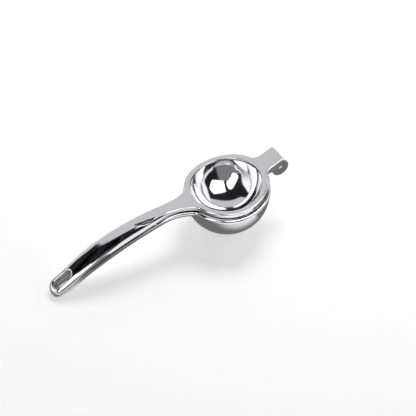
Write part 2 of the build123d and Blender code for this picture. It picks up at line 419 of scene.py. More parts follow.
def on_face(face, base, direction, distance):
    """Where a straight line through the arm meets a face."""
    point = base.copy()
    for _ in range(10):
        gap = height(face, point.x, distance(point.x, point.y)) - point.z
        point += direction * (gap / direction.z)
    return point


def face_points(face, outer, inward, inner, inside):
    """Points over a face, from its inner point to the outline."""
    line, edge, turn = face
    shape = edge(outer[0])
    reach, width, _ = shape
    brink = min(width, WIDEST_EDGE * inside)
    brink_at = outer + inward * brink
    places = []
    for share in FLAT_SHARES:
        spot = np.array(inner.xy) * (1 - share) + brink_at * share
        places.append((spot, mix(inside, brink, share)))
    first = asin(1 - brink / reach)
    for i in range(EDGE_STEPS + 1):
        here = reach * (1 - sin(mix(first, pi / 2, i / EDGE_STEPS)))
        places.append((outer + inward * here, here))
    points = [Vector((*spot, line(spot[0]) - turn * drop_at(shape, here))) for spot, here in places]
    points[0] = inner
    return points


LOOP = 2 * (len(FLAT_SHARES) + EDGE_STEPS + 1) + SIDE_STEPS - 1
print("points over top, side and base of a section", LOOP)

# %% Inner side of a section
RIM_STEPS, WALL_STEPS = 8, 3
ROUND_UP_WALL = 0.5  # mm, the most that a base rim takes of the wall


def round_corner(start, corner, end, steps):
    """Points of a quarter round that leaves start and reaches end along the corner's sides."""
    points = []
    for i in range(steps + 1):
        t = i / steps
        a, b, c = (1 - t) ** 2, sqrt(2) * t * (1 - t), t * t
        points.append((start * a + corner * b + end * c) / (a + b + c))
    return points


def centre_ends(arm, distance):
    """For each face, x where the centre line leaves the hanging hole and meets the mouth."""
    spot, direction, outward = hanging_hole_at(1.0)
    ends = {}
    for name in ("top", "base"):
        start = spot + outward * arm["hang_rims"][name]
        mouth_x = -arm["mouth_r"] - arm["mouth_rims"][name]
        ends[name] = (on_face(arm[name], start, direction, distance).x, mouth_x)
    return ends


def centre_side(arm, share, ends):
    """Inner points of a section that starts on the centre line; it has no wall."""
    inner = []
    for name in ("top", "base"):
        x = mix(*ends[name], share)
        inner.append(Vector((x, 0, height(arm[name], x, MIDLINE))))
    return inner, []


def hole_side(arm, position, distance):
    """Inner points of a section at a hole, and the rims and wall between them."""
    if position <= 1:
        rims = arm["hang_rims"]
        spot, direction, outward = hanging_hole_at(position)
    else:
        rims = arm["mouth_rims"]
        spot, direction, outward = mouth_at(position - 2, arm["mouth_r"], arm["mouth_undercut"])

    def meet(name, out):
        return on_face(arm[name], spot + outward * out, direction, distance)

    top_in, base_in = meet("top", rims["top"]), meet("base", rims["base"])
    top_corner, base_corner = meet("top", 0), meet("base", 0)
    top_wall = top_corner - direction * rims["top"]
    base_wall = base_corner + direction * min(rims["base"], ROUND_UP_WALL)
    if position > 1:
        base_corner = (base_in + base_wall) / 2
    wall = round_corner(base_in, base_corner, base_wall, RIM_STEPS)[1:]
    wall += [base_wall.lerp(top_wall, i / WALL_STEPS) for i in range(1, WALL_STEPS)]
    wall += round_corner(top_wall, top_corner, top_in, RIM_STEPS)[:-1]
    return [top_in, base_in], wall


print("points of a rim and wall", 2 * RIM_STEPS + WALL_STEPS - 1)


# %% Skin of an arm
def inward_of(outline):
    """Unit vectors from the outline's points into the arm."""
    before = np.vstack([outline[1] * (1, -1), outline[:-1]])
    after = np.vstack([outline[1:], outline[-2] * (1, -1)])
    heading = after - before
    inward = np.stack([heading[:, 1], -heading[:, 0]], axis=1)
    return inward / np.hypot(*inward.T)[:, None]


def skin_points(arm):
    """Points of all sections of half an arm, and the index of each section's points."""
    outline = np.array(half_outline(arm["ring_r"], arm["nose"]))
    stretch = partners(outline, arm["mouth_r"], arm["nose"])
    distance = distance_to(outline)
    ends = centre_ends(arm, distance)
    points, index = [], []
    for outer, inward, position in zip(outline, inward_of(outline), stretch.tolist()):
        if 1 < position < 2:
            inner, wall = centre_side(arm, position - 1, ends)
        else:
            inner, wall = hole_side(arm, position, distance)
        over, under = (
            face_points(arm[name], outer, inward, spot, distance(spot.x, spot.y))
            for name, spot in zip(("top", "base"), inner)
        )
        side = [over[-1].lerp(under[-1], i / SIDE_STEPS) for i in range(1, SIDE_STEPS)]
        first = len(points)
        points += over + side + under[::-1] + wall
        index.append(list(range(first, len(points))))
    return points, index


def build_skin(arm):
    """Points and faces of a whole arm without its bowl or cup; both halves meet in the middle."""
    points, index = skin_points(arm)
    faces = []
    for here, there in zip(index, index[1:]):
        strips = [(here[:LOOP], there[:LOOP])]
        if len(here) > LOOP and len(there) > LOOP:
            strips.append((here[LOOP - 1 :] + here[:1], there[LOOP - 1 :] + there[:1]))
        for a, b in strips:
            faces += [(a[i], b[i], b[i + 1], a[i + 1]) for i in range(len(a) - 1)]
    count = len(points)
    mirrored = [Vector((p.x, -p.y, p.z)) for p in points]
    faces += [tuple(count + v for v in reversed(face)) for face in faces]
    return points + mirrored, faces


# a face is its line, its edge, and 1 for a top or -1 for a base; rims are radii in millimetres
PRESS = {
    "ring_r": 33.0,
    "mouth_r": 28.5,
    "nose": True,
    "top": (press_top, oval_edge(1.0, UPPER_DROP), 1),
    "base": (press_base, fine_edge(1.0), -1),
    "hang_rims": {"top": 1.3, "base": 0.25},
    "mouth_rims": {"top": 0.4, "base": 1.1},
    "mouth_undercut": radians(5),
}
CUP = {
    "ring_r": 34.8,
    "mouth_r": 31.6,
    "nose": False,
    "top": (cup_top, fine_edge(1.9), 1),
    "base": (cup_base, oval_edge(1.9, LOWER_DROP), -1),
    "hang_rims": {"top": 0.25, "base": 0.8},
    "mouth_rims": {"top": 0.3, "base": 1.1},
    "mouth_undercut": 0.0,
}
ring_walls = [round(arm["ring_r"] - arm["mouth_r"], 1) for arm in (PRESS, CUP)]
print("walls of the rings", ring_walls, "mm")

# %% Closed meshes of both skins
SAME_POINT, FLAT_FACE = 2e-7, 1e-7  # metres


def open_edges(bm):
    """Number of edges that don't join exactly two faces, which is 0 on a closed part."""
    return sum(1 for edge in bm.edges if len(edge.link_faces) != 2)


def closed_part(points, faces):
    """Mesh in world metres of a part given in the arm's millimetres, with its faces outward."""
    bm = bmesh.new()
    corners = [bm.verts.new(ARM_TO_WORLD @ Vector(p)) for p in points]
    for face in faces:
        bm.faces.new([corners[v] for v in face])
    bmesh.ops.remove_doubles(bm, verts=corners, dist=SAME_POINT)
    bmesh.ops.dissolve_degenerate(bm, dist=FLAT_FACE, edges=bm.edges)
    for vert in bm.verts:
        vert.co.z = max(vert.co.z, 0.0)
    bmesh.ops.recalc_face_normals(bm, faces=bm.faces)
    return bm


for title, arm in (("press", PRESS), ("cup", CUP)):
    arm["skin"] = closed_part(*build_skin(arm))
    print(title, "skin", len(arm["skin"].faces), "faces,", open_edges(arm["skin"]), "open edges")

# %% [markdown]
# ## Bowl and cup
# Both are thin shells of revolution: the lower part of a ball that ends in a collar. Spin or
# Screw would turn such a line too. Here plain loops do it, because the same helper then also
# makes the pin. Their collars end inside the rings, so ring and shell read as one casting. The
# bowl is what the eye goes to, because it shows the whole studio, so its rows are closer
# together than a print would need.

# %% Shells of revolution
AROUND = 192
BALL_STEPS = 60
ON_AXIS = 1e-6  # a smaller radius is a pole


def ball_end(radius, centre_z, collar_r, collar_z):
    """Line from a collar down a ball's lower part to its pole, as (radius, z)."""
    line = [(collar_r, collar_z)]
    widest = asin(collar_r / radius)
    for i in range(BALL_STEPS):
        turn = widest * (1 - i / BALL_STEPS)
        line.append((radius * sin(turn), centre_z - radius * cos(turn)))
    return line + [(0.0, centre_z - radius)]


def revolve(line, axis_z=True, centre=(0, 0, 0)):
    """Points and faces of a line turned about its axis; both of its ends are on the axis."""
    points, faces = [], []
    rows = []
    for radius, level in line:
        count = AROUND if radius > ON_AXIS else 1
        rows.append(list(range(len(points), len(points) + count)))
        for i in range(count):
            turn = 2 * pi * i / AROUND
            a, b = radius * cos(turn), radius * sin(turn)
            spot = Vector((a, b, level)) if axis_z else Vector((a, level, b))
            points.append(spot + Vector(centre))
    for upper, lower in zip(rows, rows[1:]):
        for i in range(AROUND):
            j = (i + 1) % AROUND
            if len(upper) == 1:
                faces.append((upper[0], lower[i], lower[j]))
            elif len(lower) == 1:
                faces.append((upper[i], lower[0], upper[j]))
            else:
                faces.append((upper[i], lower[i], lower[j], upper[j]))
    return points, faces


def shell(ball_r, wall, centre_z, collar_r, collar_z):
    """Closed shell between two such lines."""
    inner = ball_end(ball_r, centre_z, collar_r, collar_z)
    outer = ball_end(ball_r + wall, centre_z, collar_r + wall, collar_z)
    return revolve(inner[::-1] + outer)


BOWL_HIDDEN, CUP_HIDDEN = 0.18, 0.03  # how far each collar stays behind its ring's inner wall
BOWL = shell(
    ball_r=30.2, wall=2.2, centre_z=8.1, collar_r=PRESS["mouth_r"] + BOWL_HIDDEN, collar_z=-1.0
)
CUP_R = CUP["mouth_r"] + CUP_HIDDEN
CUP_SHELL = shell(
    ball_r=CUP_R, wall=2.4 - CUP_HIDDEN, centre_z=-7.0, collar_r=CUP_R, collar_z=-6.5
)
print("bowl faces", len(BOWL[1]), "cup faces", len(CUP_SHELL[1]))

# %% [markdown]
# ## Drain holes
# Juice leaves through nineteen round holes in the bottom of the cup: one in the middle and two
# circles of six and twelve. Holes that repeat on circles are a rule, so a small Geometry Nodes
# tree makes their cutters, with the sizes as named inputs. Changing a count moves every hole.

# %% Tree of the drain holes
DRAIN_SIDES = 40  # of each cutter
DRAIN_INPUTS = (
    ("Hole Radius", "Float"),
    ("Depth", "Float"),
    ("Inner Circle", "Float"),
    ("Outer Circle", "Float"),
    ("Inner Count", "Int"),
    ("Outer Count", "Int"),
    ("Finish", "Material"),
)


def link_all(tree, *pairs):
    """Links sockets two by two."""
    for start, end in pairs:
        tree.links.new(start, end)


def drain_tree():
    """Tree that stands one cylinder on each point of two circles and on their centre."""
    tree = bpy.data.node_groups.new("drain_holes", "GeometryNodeTree")
    tree.interface.new_socket(name="Cutters", in_out="OUTPUT", socket_type="NodeSocketGeometry")
    sockets = {}
    for name, kind in DRAIN_INPUTS:
        sockets[name] = tree.interface.new_socket(
            name=name, in_out="INPUT", socket_type="NodeSocket" + kind
        )
    given = tree.nodes.new("NodeGroupInput").outputs
    result = tree.nodes.new("NodeGroupOutput")
    inner = tree.nodes.new("GeometryNodeMeshCircle")
    outer = tree.nodes.new("GeometryNodeMeshCircle")
    middle = tree.nodes.new("GeometryNodeMeshLine")
    middle.inputs["Count"].default_value = 1
    places = tree.nodes.new("GeometryNodeJoinGeometry")
    drill = tree.nodes.new("GeometryNodeMeshCylinder")
    drill.inputs["Vertices"].default_value = DRAIN_SIDES
    stand = tree.nodes.new("GeometryNodeInstanceOnPoints")
    real = tree.nodes.new("GeometryNodeRealizeInstances")
    coat = tree.nodes.new("GeometryNodeSetMaterial")
    link_all(
        tree,
        (given["Inner Count"], inner.inputs["Vertices"]),
        (given["Inner Circle"], inner.inputs["Radius"]),
        (given["Outer Count"], outer.inputs["Vertices"]),
        (given["Outer Circle"], outer.inputs["Radius"]),
        (given["Hole Radius"], drill.inputs["Radius"]),
        (given["Depth"], drill.inputs["Depth"]),
        (inner.outputs["Mesh"], places.inputs["Geometry"]),
        (outer.outputs["Mesh"], places.inputs["Geometry"]),
        (middle.outputs["Mesh"], places.inputs["Geometry"]),
        (places.outputs["Geometry"], stand.inputs["Points"]),
        (drill.outputs["Mesh"], stand.inputs["Instance"]),
        (stand.outputs["Instances"], real.inputs["Geometry"]),
        (real.outputs["Geometry"], coat.inputs["Geometry"]),
        (given["Finish"], coat.inputs["Material"]),
        (coat.outputs["Geometry"], result.inputs["Cutters"]),
    )
    return tree, sockets


drain_nodes, drain_sockets = drain_tree()
print("drain tree", len(drain_nodes.nodes), "nodes")

# %% Cutters for the drain holes
DRAIN_Z = -32.0  # middle of the cutters, well through the cup's bottom


def plain_mesh(piece):
    """The piece's mesh as its modifiers make it."""
    graph = bpy.context.evaluated_depsgraph_get()
    return bpy.data.meshes.new_from_object(piece.evaluated_get(graph))


chrome = bpy.data.materials.new("mirror_chrome")
drains = bpy.data.objects.new("drain_cutters", bpy.data.meshes.new("drain_cutters"))
bpy.context.scene.collection.objects.link(drains)
drain_holes = drains.modifiers.new("drain_holes", "NODES")
drain_holes.node_group = drain_nodes
for name, value in (
    ("Hole Radius", 1.8),
    ("Depth", 26.0),
    ("Inner Circle", 7.0),
    ("Outer Circle", 13.5),
    ("Inner Count", 6),
    ("Outer Count", 12),
    ("Finish", chrome),
):
    drain_holes[drain_sockets[name].identifier] = value
drains.data = plain_mesh(drains)
drains.modifiers.clear()
drains.data.transform(ARM_TO_WORLD @ Matrix.Translation((0, 0, DRAIN_Z)))
print("drain cutters", len(drains.data.polygons) // (DRAIN_SIDES + 2))

# %% [markdown]
# ## Ears, tongue and pin
# The hinge is a fork: two ears under the nose of the press arm, the tongue of the cup arm
# between them, and a riveted pin through all three. Ears and tongue are plain profiles with
# broken edges, so a prism with a bevel is the honest way to make them. The pin is a turned part
# with a slight dome on both ends, so its line is revolved.

# %% Side profiles
EAR_R, EAR_IN, EAR_OUT = 7.3, 4.2, 8.47
EAR_TURNS = (203.7, 420.9)  # degrees of its round part, from behind the pin up to the nose
EAR_ROOT = [(48.9, 6.0), (36.5, 1.5)]  # inside the nose
EAR_BREAK, TONGUE_BREAK = 0.5, 0.4  # widths of their broken edges


def circle_points(centre, radius, start, end, count):
    """Points on an arc in side view, both ends included."""
    turns = [radians(start + (end - start) * i / count) for i in range(count + 1)]
    return [(centre[0] + radius * cos(t), centre[1] + radius * sin(t)) for t in turns]


def prism(profile, y_from, y_to, bevel):
    """Side-view profile stretched across the arm, with its edges broken."""
    bm = bmesh.new()
    count = len(profile)
    near = [bm.verts.new((x, y_from, z)) for x, z in profile]
    far = [bm.verts.new((x, y_to, z)) for x, z in profile]
    caps = [bm.faces.new(near), bm.faces.new(far[::-1])]
    for i in range(count):
        j = (i + 1) % count
        bm.faces.new((near[j], near[i], far[i], far[j]))
    rims = [edge for cap in caps for edge in cap.edges]
    bmesh.ops.bevel(
        bm, geom=rims, offset=bevel, segments=4, profile=0.5, affect="EDGES", clamp_overlap=True
    )
    bm.verts.index_update()
    points = [vert.co.copy() for vert in bm.verts]
    faces = [[vert.index for vert in face.verts] for face in bm.faces]
    bm.free()
    return points, faces


ear_profile = circle_points((PIN_X, PIN_Z), EAR_R, *EAR_TURNS, count=60) + EAR_ROOT
EARS = [prism(ear_profile, *side, EAR_BREAK) for side in ((EAR_IN, EAR_OUT), (-EAR_OUT, -EAR_IN))]
print("ear", len(EARS[0][1]), "faces")

# %% Tongue and pin
TONGUE_HALF, EYE_R = 4.0, 4.9
ROOT, ROOT_R = (33.6, -4.6), 2.3  # the tongue's round end inside the cup's ring
PIN_R, PIN_END, PIN_DOME = 2.0, 8.85, 0.9
reach = hypot(PIN_X - ROOT[0], PIN_Z - ROOT[1])
lie = degrees(atan2(PIN_Z - ROOT[1], PIN_X - ROOT[0]))
lean = degrees(acos((EYE_R - ROOT_R) / reach))
eye_turns = (lie - 180 + lean, lie + 180 - lean)
root_turns = (lie + 180 - lean, lie + 180 + lean)
tongue_profile = circle_points((PIN_X, PIN_Z), EYE_R, *eye_turns, count=44)
tongue_profile += circle_points(ROOT, ROOT_R, *root_turns, count=16)
TONGUE = prism(tongue_profile, -TONGUE_HALF, TONGUE_HALF, TONGUE_BREAK)
dome_turns = [radians(turn) for turn in range(9, 91, 9)]
dome = [(PIN_R * sin(turn), PIN_END - PIN_DOME * (1 - cos(turn))) for turn in dome_turns]
pin_line = [(0, PIN_END)] + dome + [(r, -y) for r, y in dome[::-1]] + [(0, -PIN_END)]
PIN = revolve(pin_line, axis_z=False, centre=(PIN_X, 0, PIN_Z))
print("tongue", len(TONGUE[1]), "pin", len(PIN[1]), "faces")

# %% [markdown]
# ## Pieces
# Each part of the hinge becomes one finished piece: the casting with all that is cast on it.
# Smooth shading has to stop at real edges, or the mirror would smear round them, so faces that
# meet at more than a few degrees keep a sharp edge between them. The opener slot and the drain
# holes are cut with a Boolean, which is the plain way to take a clean shape out of a dense skin.

# %% Helpers for the pieces
SHARP = radians(14)  # faces that meet at more than this keep a sharp edge


def finished(name, bm):
    """Object from a mesh in world metres, shaded smooth except at real edges."""
    mesh = bpy.data.meshes.new(name)
    bm.to_mesh(mesh)
    bm.free()
    mesh.shade_smooth()
    mesh.set_sharp_from_angle(angle=SHARP)
    piece = bpy.data.objects.new(name, mesh)
    bpy.context.scene.collection.objects.link(piece)
    return piece


def join_part(bm, part):
    """Adds one more closed part to a casting's mesh."""
    mesh = bpy.data.meshes.new("part")
    part.to_mesh(mesh)
    part.free()
    bm.from_mesh(mesh)
    bpy.data.meshes.remove(mesh)


def cut_with(target, cutter):
    """Takes the cutter's shape out of the target for good."""
    cut = target.modifiers.new("cut", "BOOLEAN")
    cut.operation = "DIFFERENCE"
    cut.solver = "EXACT"
    cut.object = cutter
    mesh = plain_mesh(target)
    target.modifiers.clear()
    target.data = mesh
    bpy.data.objects.remove(cutter)


def into_bmesh(piece):
    """Editable mesh of a piece, which is removed."""
    bm = bmesh.new()
    bm.from_mesh(piece.data)
    bpy.data.objects.remove(piece)
    return bm


print("edges of more than", round(degrees(SHARP)), "degrees stay sharp")

# %% [markdown]
# ## Opener slot
# The crescent in the grip lifts crown caps. On the real casting its upper rim is rounded, and in
# a mirror that shows as a dark, a light and a white line along the crescent. A Bevel modifier
# would trip over the small faces beside a fresh cut, so the cutter carries the rim itself: its
# rows widen towards the grip's face in a quarter round that follows the face's own height.

# %% Crescent and its height on the grip
SLOT_TIP_END, SLOT_NECK_END, SLOT_BULGE = (-82.2, -1.7), (-64.0, -3.0), (-73.6, -5.6)
SLOT_CHORD = hypot(SLOT_NECK_END[0] - SLOT_TIP_END[0], SLOT_NECK_END[1] - SLOT_TIP_END[1])
SLOT_POINTS = 40  # on its arc, and again on its chord


def arc_through(start, middle, end, count):
    """Points of the arc through three points, its end left out."""
    (ax, ay), (bx, by), (cx, cy) = start, middle, end
    d = 2 * (ax * (by - cy) + bx * (cy - ay) + cx * (ay - by))
    a2, b2, c2 = ax * ax + ay * ay, bx * bx + by * by, cx * cx + cy * cy
    ux = (a2 * (by - cy) + b2 * (cy - ay) + c2 * (ay - by)) / d
    uy = (a2 * (cx - bx) + b2 * (ax - cx) + c2 * (bx - ax)) / d
    first, last = atan2(ay - uy, ax - ux), atan2(cy - uy, cx - ux)
    if last < first:
        last += 2 * pi
    radius = hypot(ax - ux, ay - uy)
    return arc((ux, uy), radius, first, last, radius * (last - first) / count)


def grip_height(x, y):
    """Height of the press arm's top face at a place on its grip."""
    return height(PRESS["top"], x, half_width(x) - abs(y))


slot_outline = np.array(
    arc_through(SLOT_TIP_END, SLOT_BULGE, SLOT_NECK_END, SLOT_POINTS)
    + straight(SLOT_NECK_END, SLOT_TIP_END, SLOT_CHORD / SLOT_POINTS)
)
heading = np.roll(slot_outline, -1, axis=0) - slot_outline
heading /= np.hypot(*heading.T)[:, None]
outward = np.stack([heading[:, 1], -heading[:, 0]], axis=1)
outward += np.roll(outward, 1, axis=0)
outward /= np.hypot(*outward.T)[:, None]
print("slot points", len(slot_outline))

# %% Cutter with a rounded rim
SLOT_RIM = 0.5  # radius of the rounded rim
RIM_TURNS = [radians(12.5 * i) for i in range(7)]  # rows of the quarter round
PAST_FACE = 0.4  # last row, beyond the face, in rim radii
CUTTER_REACH = 20.0  # above and below, well out of the grip

# each row: how far out of the outline and how deep under the face, in rim radii
rim_rows = [(1 - cos(turn), 1 - sin(turn)) for turn in RIM_TURNS]
last_out, last_deep = rim_rows[-1]
last_turn = RIM_TURNS[-1]
rim_rows.append((last_out + PAST_FACE * sin(last_turn), last_deep - PAST_FACE * cos(last_turn)))
cutter_rows = [[(x, y, -CUTTER_REACH) for x, y in slot_outline]]
for out, deep in rim_rows:
    places = slot_outline + outward * out * SLOT_RIM
    cutter_rows.append([(x, y, grip_height(x, y) - deep * SLOT_RIM) for x, y in places])
cutter_rows.append([(x, y, CUTTER_REACH) for x, y in places])
cutter_bm = bmesh.new()
rows = [[cutter_bm.verts.new(ARM_TO_WORLD @ Vector(p)) for p in row] for row in cutter_rows]
cutter_bm.faces.new(rows[0])
cutter_bm.faces.new(rows[-1][::-1])
for lower, upper in zip(rows, rows[1:]):
    for i in range(len(lower)):
        j = (i + 1) % len(lower)
        cutter_bm.faces.new((lower[j], lower[i], upper[i], upper[j]))
bmesh.ops.recalc_face_normals(cutter_bm, faces=cutter_bm.faces)
skin = finished("press_skin", PRESS.pop("skin"))
cut_with(skin, finished("slot_cutter", cutter_bm))
print("press skin with its slot", len(skin.data.polygons), "faces")

# %% [markdown]
# ## Castings and pin
# The press arm is its slotted skin, the bowl and the ears; the cup arm is its skin, the drilled
# cup and the tongue. Joined parts overlap inside the metal, as they do where cast walls meet, and
# are not fused, because a Boolean there would leave slivers that a mirror shows. Each finished
# piece then takes the place of its CAD part and rides on that part's body.

# %% Castings and pin
bm = into_bmesh(skin)
for part in (BOWL, *EARS):
    join_part(bm, closed_part(*part))
press_arm = finished("press_arm_casting", bm)
cup = finished("cup_shell", closed_part(*CUP_SHELL))
cut_with(cup, drains)
bm = into_bmesh(cup)
join_part(bm, CUP.pop("skin"))
join_part(bm, closed_part(*TONGUE))
cup_arm = finished("cup_arm_casting", bm)
hinge_pin = finished("hinge_pin_riveted", closed_part(*PIN))
for piece, body, node, finish in (
    (press_arm, "press", "press_arm", "arm_chrome"),
    (cup_arm, "cup", "cup_arm", "arm_chrome"),
    (hinge_pin, "cup", "hinge_pin", "pin_steel"),
):
    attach(piece, body)
    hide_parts(node)
    bm = bmesh.new()
    bm.from_mesh(piece.data)
    print(piece.name, len(piece.data.polygons), "faces,", open_edges(bm), "open edges")
    bm.free()

# %% [markdown]
# ## Mirror chrome
# Plated zinc is almost a perfect mirror, but not quite: hand polishing leaves the faintest
# waves, and use leaves a breath of haze here and there. Both are kept so low that they are felt
# more than seen. The waves are a bump of a hundredth of a millimetre, the haze is a change of
# roughness, and fine wiping lines run along the arm. All patterns sit in object coordinates, so
# they stay on the metal when the tool opens.


# %% Helpers for node trees
def node_tree(owner):
    """Empty node tree of a material or a world."""
    owner.use_nodes = True
    owner.node_tree.nodes.clear()
    return owner.node_tree


def calc(kind, a, b=None):
    """One step of arithmetic with sockets and plain numbers, in the first socket's tree."""
    tree = next(value.id_data for value in (a, b) if hasattr(value, "id_data"))
    step = tree.nodes.new("ShaderNodeMath")
    step.operation = kind
    for socket, value in zip(step.inputs, (a, b)):
        if isinstance(value, (int, float)):
            socket.default_value = value
        elif value is not None:
            tree.links.new(value, socket)
    return step.outputs[0]


def fit_range(value, start, end, low=0.0, high=1.0, kind="SMOOTHSTEP"):
    """Low at the start, high at the end, soft or LINEAR between."""
    if start > end:
        start, end, low, high = end, start, high, low
    tree = value.id_data
    fit = tree.nodes.new("ShaderNodeMapRange")
    fit.interpolation_type = kind
    for name, number in zip(("From Min", "From Max", "To Min", "To Max"), (start, end, low, high)):
        fit.inputs[name].default_value = number
    tree.links.new(value, fit.inputs["Value"])
    return fit.outputs["Result"]


def shine(tree, kind, strength, colour=(1, 1, 1)):
    """Emission or Background whose strength is a number or a socket."""
    node = tree.nodes.new(kind)
    node.inputs["Color"].default_value = (*colour, 1)
    if isinstance(strength, (int, float)):
        node.inputs["Strength"].default_value = strength
    else:
        tree.links.new(strength, node.inputs["Strength"])
    return node.outputs[0]


def switch(by, off, on):
    """The first shader, or the second one where the ray is of the given kind."""
    tree = by.id_data
    node = tree.nodes.new("ShaderNodeMixShader")
    link_all(tree, (by, node.inputs["Fac"]), (off, node.inputs[1]), (on, node.inputs[2]))
    return node.outputs[0]


def noise(place, scale, detail):
    """Cloudy pattern."""
    tree = place.id_data
    cloud = tree.nodes.new("ShaderNodeTexNoise")
    cloud.inputs["Scale"].default_value = scale
    cloud.inputs["Detail"].default_value = detail
    tree.links.new(place, cloud.inputs["Vector"])
    return cloud.outputs["Fac"]


helpers = (node_tree, calc, fit_range, shine, switch, noise)
print("helpers", [helper.__name__ for helper in helpers])

# %% Chrome
CLOUD_RANGE = (0.3, 0.7)  # where most of a pattern's values lie
WAVE_STRENGTH = 0.4


def metal(material, colour, roughness, marks, wave_height):
    """Metal whose waves are its last pattern and whose roughness follows the others.

    Roughness is the least and most that the first pattern gives, and what each further one adds.
    """
    tree = node_tree(material)
    *hazes, waves = marks(tree)
    least, most, more = roughness
    total = fit_range(hazes[0], *CLOUD_RANGE, least, most, "LINEAR")
    for haze in hazes[1:]:
        total = calc("ADD", total, fit_range(haze, *CLOUD_RANGE, 0.0, more, "LINEAR"))
    bump = tree.nodes.new("ShaderNodeBump")
    bump.inputs["Strength"].default_value = WAVE_STRENGTH
    bump.inputs["Distance"].default_value = wave_height
    shader = tree.nodes.new("ShaderNodeBsdfPrincipled")
    shader.inputs["Base Color"].default_value = (*colour, 1)
    shader.inputs["Metallic"].default_value = 1.0
    out = tree.nodes.new("ShaderNodeOutputMaterial")
    link_all(
        tree,
        (total, shader.inputs["Roughness"]),
        (waves, bump.inputs["Height"]),
        (bump.outputs["Normal"], shader.inputs["Normal"]),
        (shader.outputs["BSDF"], out.inputs["Surface"]),
    )


def chrome_marks(tree):
    """Haze, wiping lines and waves of the plated castings."""
    place = tree.nodes.new("ShaderNodeTexCoord").outputs["Object"]
    along_arm = tree.nodes.new("ShaderNodeMapping")
    along_arm.inputs["Scale"].default_value = (0.06, 1.0, 1.0)
    tree.links.new(place, along_arm.inputs["Vector"])
    lines = noise(along_arm.outputs["Vector"], scale=2600, detail=2)
    return [noise(place, scale=90, detail=4), lines, noise(place, scale=70, detail=1)]


metal(
    chrome,
    colour=(0.80, 0.80, 0.82),
    roughness=(0.05, 0.10, 0.03),
    marks=chrome_marks,
    wave_height=0.00002,
)
print("chrome nodes", len(chrome.node_tree.nodes))

# %% [markdown]
# ## Turned steel
# The pin is bare steel, cut on a lathe and then pressed flat at its ends, so it is duller than
# the chrome and carries fine rings round its axis. A wave texture in rings gives them, once a
# Mapping node has moved its centre to the pin.


# %% Steel
def steel_marks(tree):
    """Haze and turning rings of the pin; the rings are its waves too."""
    place = tree.nodes.new("ShaderNodeTexCoord").outputs["Object"]
    centred = tree.nodes.new("ShaderNodeMapping")
    centred.inputs["Location"].default_value = -pin_world * MM
    tree.links.new(place, centred.inputs["Vector"])
    rings = tree.nodes.new("ShaderNodeTexWave")
    rings.wave_type = "RINGS"
    rings.rings_direction = "Y"
    rings.inputs["Scale"].default_value = 900
    rings.inputs["Distortion"].default_value = 0.6
    tree.links.new(centred.outputs["Vector"], rings.inputs["Vector"])
    return [noise(place, scale=900, detail=3), rings.outputs["Fac"], rings.outputs["Fac"]]


steel = bpy.data.materials.new("turned_steel")
metal(
    steel,
    colour=(0.80, 0.79, 0.78),
    roughness=(0.06, 0.10, 0.03),
    marks=steel_marks,
    wave_height=0.00001,
)
for piece, finish in ((press_arm, chrome), (cup_arm, chrome), (hinge_pin, steel)):
    piece.data.materials.clear()
    piece.data.materials.append(finish)
print("finishes", [slot.material.name for slot in press_arm.material_slots], steel.name)

# %% [markdown]
# ## Camera
# The camera looks down at the tool from the tip's side, about forty-four degrees above the
# table and a metre away, so the bowl opens towards it. Its three axes are written out, because
# a tilted frame of axes says more plainly than three angles where right and up are.

# %% Camera
RING_MIDDLE = Vector((51.15, 0, 40.959))  # mm
CAMERA_AWAY = 1000  # mm from there
LENS, SENSOR = 111.1, 36  # mm
MOVED_RIGHT, MOVED_UP = 14.018, 18.010  # mm by which the ring's middle is off the view's middle
back = Vector((-0.3667, -0.6200, 0.6937))
right = Vector((0.8607, -0.5090, 0.0))
up = Vector((0.3531, 0.5971, 0.7203))
camera_data = bpy.data.cameras.new("camera")
camera_data.lens, camera_data.sensor_width = LENS, SENSOR
camera = bpy.data.objects.new("camera", camera_data)
bpy.context.scene.collection.objects.link(camera)
camera_at = RING_MIDDLE + back * CAMERA_AWAY - right * MOVED_RIGHT - up * MOVED_UP
camera.matrix_world = Matrix(
    (
        (right.x, up.x, back.x, camera_at.x * MM),
        (right.y, up.y, back.y, camera_at.y * MM),
        (right.z, up.z, back.z, camera_at.z * MM),
        (0, 0, 0, 1),
    )
)
bpy.context.scene.camera = camera
print("camera at", [round(v, 3) for v in camera.matrix_world.translation])

# %% [markdown]
# ## Floor
# A white table that runs out of sight and keeps the tool's soft shadow. To the camera it glows
# up to white. What the chrome sees of it is a painted reflection: white too, but painted dark
# right under the tool, in a band that is wider beside the grip. Without that painted dark band
# the lower sides of the castings would be white on white and lose their outline. The painted
# reflection has a light patch near the grip's end, and far out it is painted grey, which the
# opened arm shows. These are soft steps over the floor's own x and y, in metres, and only
# reflections see them.

# %% Table that glows up to white
FLOOR_R, FLOOR_SIDES = 6.0, 128
FLOOR_GREY, FLOOR_GLOW = 0.8, 0.52
floor_bm = bmesh.new()
bmesh.ops.create_circle(floor_bm, cap_ends=True, radius=FLOOR_R, segments=FLOOR_SIDES)
floor = finished("floor", floor_bm)
floor_white = bpy.data.materials.new("floor_white")
floor.data.materials.append(floor_white)
floor_tree = node_tree(floor_white)
floor_rays = floor_tree.nodes.new("ShaderNodeLightPath").outputs
matt = floor_tree.nodes.new("ShaderNodeBsdfDiffuse")
matt.inputs["Color"].default_value = (FLOOR_GREY, FLOOR_GREY, FLOOR_GREY, 1)
seen = calc("MAXIMUM", floor_rays["Is Camera Ray"], floor_rays["Is Glossy Ray"])
glow = shine(floor_tree, "ShaderNodeEmission", calc("MULTIPLY", seen, FLOOR_GLOW))
table = floor_tree.nodes.new("ShaderNodeAddShader")
link_all(floor_tree, (matt.outputs[0], table.inputs[0]), (glow, table.inputs[1]))
print("table", FLOOR_R, "m in radius")
